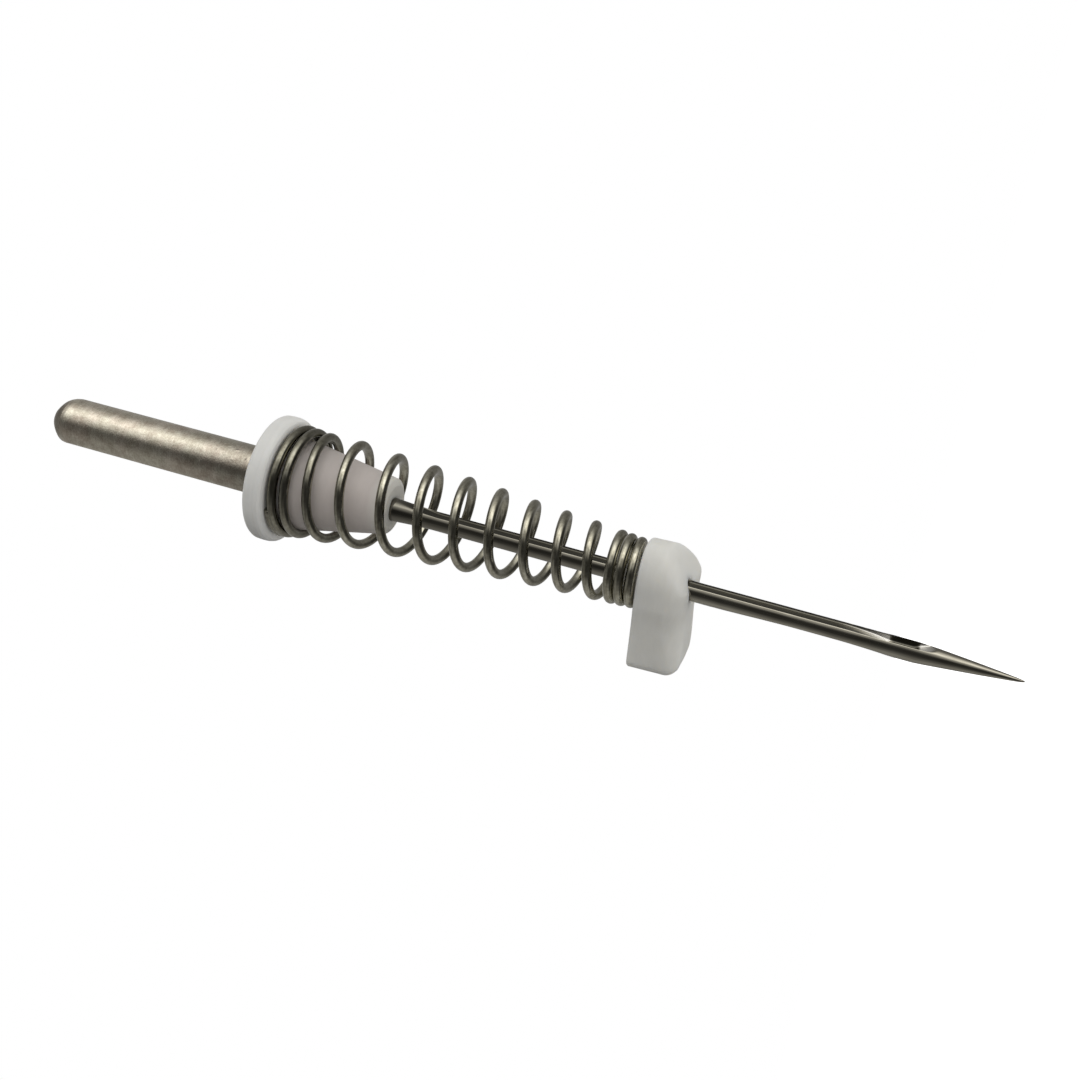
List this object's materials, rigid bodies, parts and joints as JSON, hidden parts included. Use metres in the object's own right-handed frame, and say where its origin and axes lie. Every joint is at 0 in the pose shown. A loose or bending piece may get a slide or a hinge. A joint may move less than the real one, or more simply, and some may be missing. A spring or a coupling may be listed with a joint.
{
  "type": "sewing machine needle with presser foot spring",
  "caption": "Flat-shank sewing machine needle with a collar at its shoulder, a conical compression spring and a small foot that slides up the blade.",
  "frame": {"origin": "middle of the butt end face of the shank, on the needle's axis", "axes": "the needle hangs along -Z with its point down; +Y is the back, the side of the shank's flat, the scarf and the foot's leg; the long groove faces -Y"},
  "size_m": [0.005, 0.0057, 0.0384],
  "materials": {
    "needle_steel": "ground and nickelled steel, fine length-wise grinding marks on the shank, polished blade",
    "collar_plastic": "satin white, slightly translucent",
    "spring_wire": "bright drawn wire",
    "foot_plastic": "satin white, slightly translucent"
  },
  "bodies": {
    "needle": {"needle": "needle_steel", "upper_collar": "collar_plastic", "spring": "spring_wire"},
    "foot": {"foot": "foot_plastic"}
  },
  "joints": [
    {"name": "foot_slide", "type": "slide", "parent": "needle", "child": "foot", "axis": [0, 0, 1], "range_m": [0, 0.0075], "stiffness_N_per_m": 60, "springref_m": -0.002, "deforming": ["spring"]}
  ]
}
